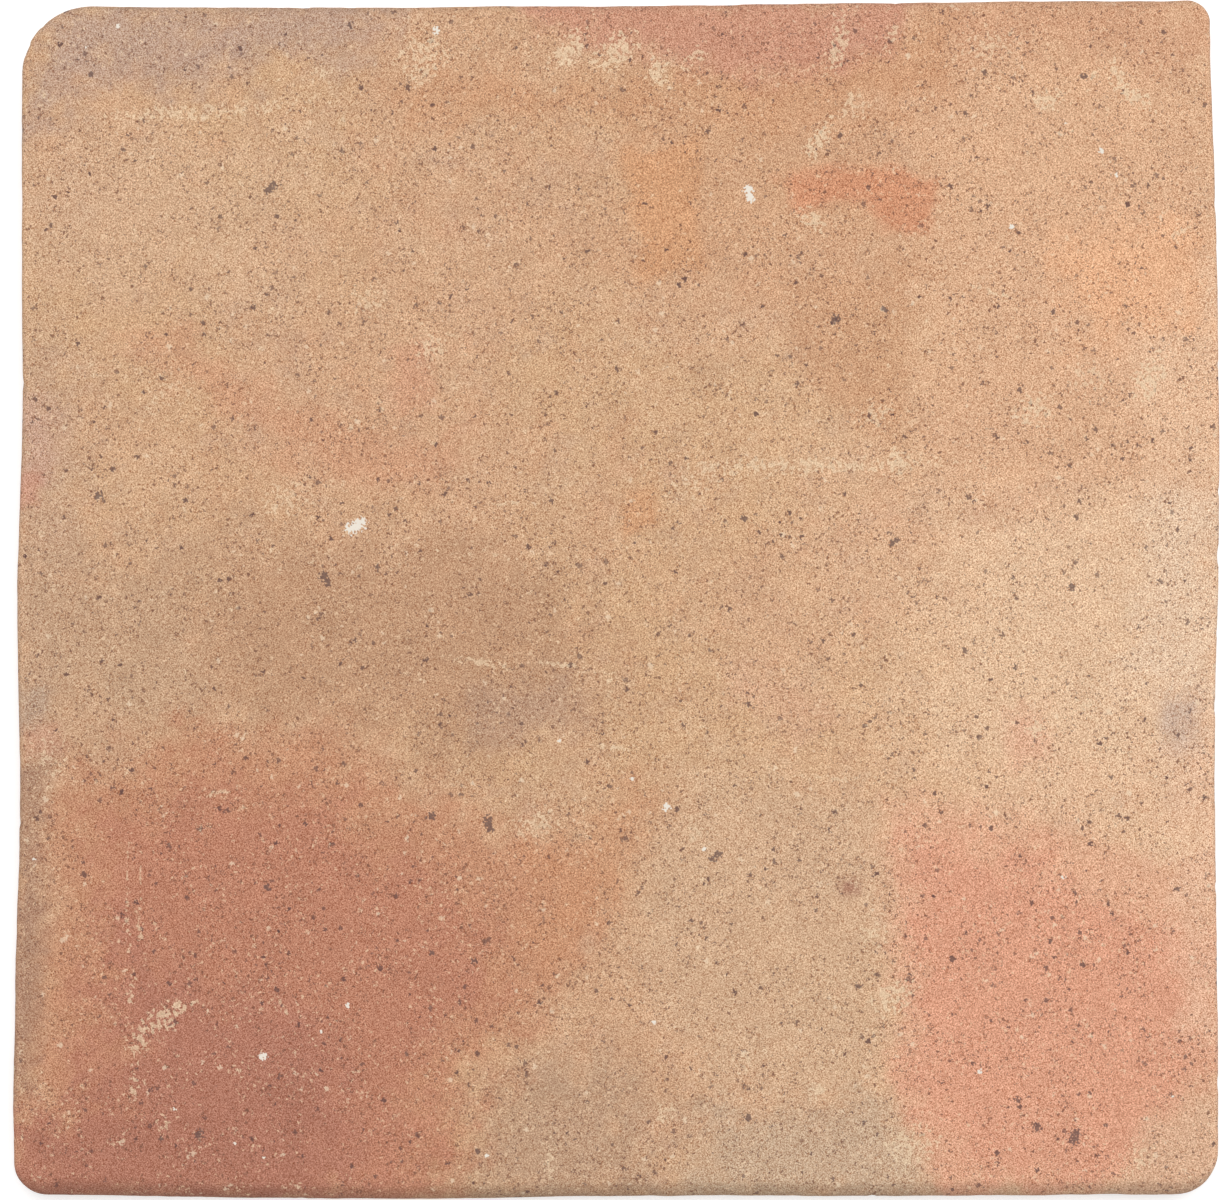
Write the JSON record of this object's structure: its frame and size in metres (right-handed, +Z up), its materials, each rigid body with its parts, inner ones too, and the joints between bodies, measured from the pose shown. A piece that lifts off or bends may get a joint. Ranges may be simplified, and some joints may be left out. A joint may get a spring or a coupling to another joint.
{
  "type": "terracotta floor tile",
  "caption": "Square hand-moulded terracotta floor tile with slightly waved sides, unequal rounded corners and a softened upper edge, laid flat as unglazed paving.",
  "frame": {"origin": "middle of the bedding face, at the base of the tile", "axes": "+Z up out of the wearing face, +X to the right and +Y to the back as the tile is seen from above"},
  "size_m": [0.3011, 0.2997, 0.02],
  "materials": {
    "fired_clay": "unglazed, matt, sandy"
  },
  "bodies": {
    "root": {"terracotta_tile": "fired_clay"}
  },
  "joints": []
}
